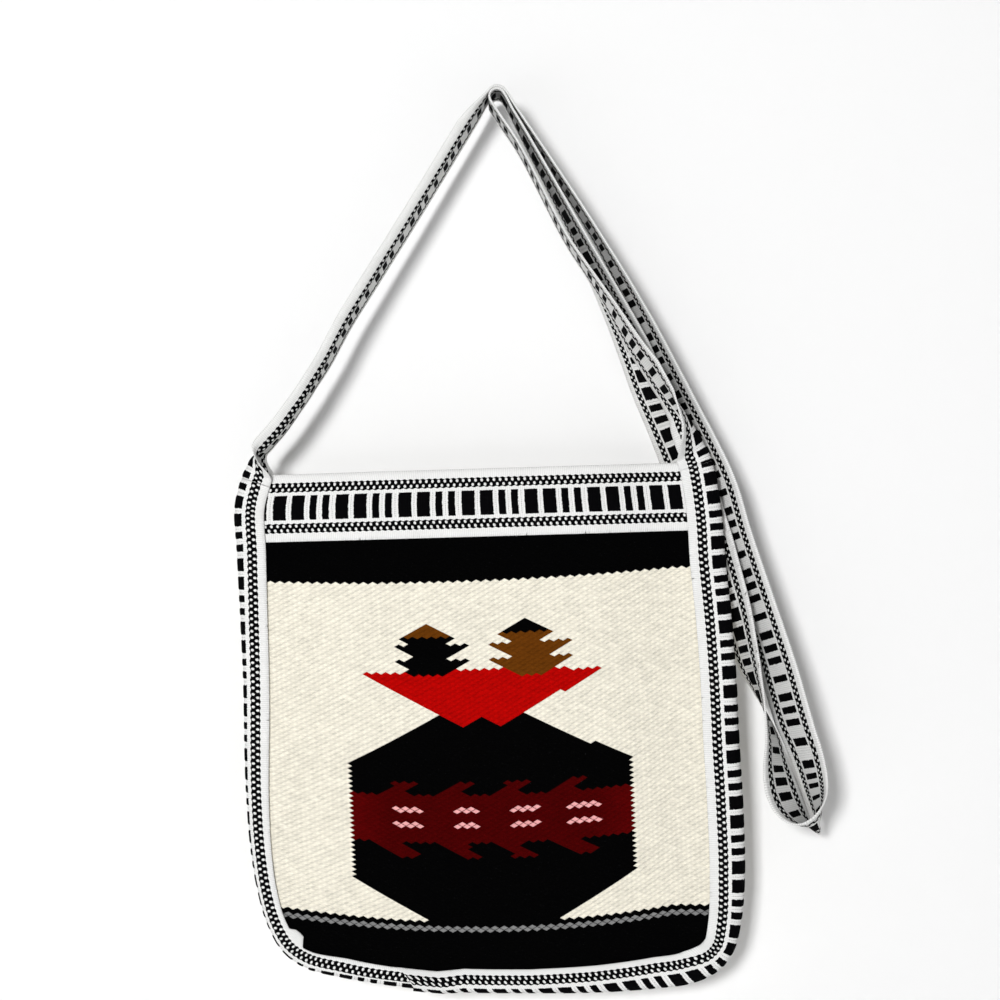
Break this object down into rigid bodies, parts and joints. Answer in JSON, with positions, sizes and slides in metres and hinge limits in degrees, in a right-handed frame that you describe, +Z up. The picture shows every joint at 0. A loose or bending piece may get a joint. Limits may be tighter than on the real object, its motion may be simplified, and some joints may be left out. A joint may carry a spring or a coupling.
{
  "type": "crossbody bag",
  "caption": "Flat handwoven wool pouch edged all round by a patterned woven band that runs on as a long shoulder strap, hung from a hook with its slack in a loop.",
  "frame": {"origin": "the point on top of the hook arm where the strap bears", "axes": "+X to the viewer's right as the bag hangs, +Y away from the viewer towards the wall, +Z up"},
  "size_m": [0.3533, 0.0726, 0.543],
  "materials": {
    "wool_panel": "matt weft-faced wool weave, cream field with black, red and brown figures",
    "woven_band": "matt black and white warp-faced woven band"
  },
  "bodies": {
    "root": {"front_panel": "wool_panel", "back_panel": "wool_panel", "front_mouth_band": "woven_band", "back_mouth_band": "woven_band", "gusset_left": "woven_band", "gusset_right": "woven_band", "shoulder_strap": "woven_band"}
  },
  "joints": []
}
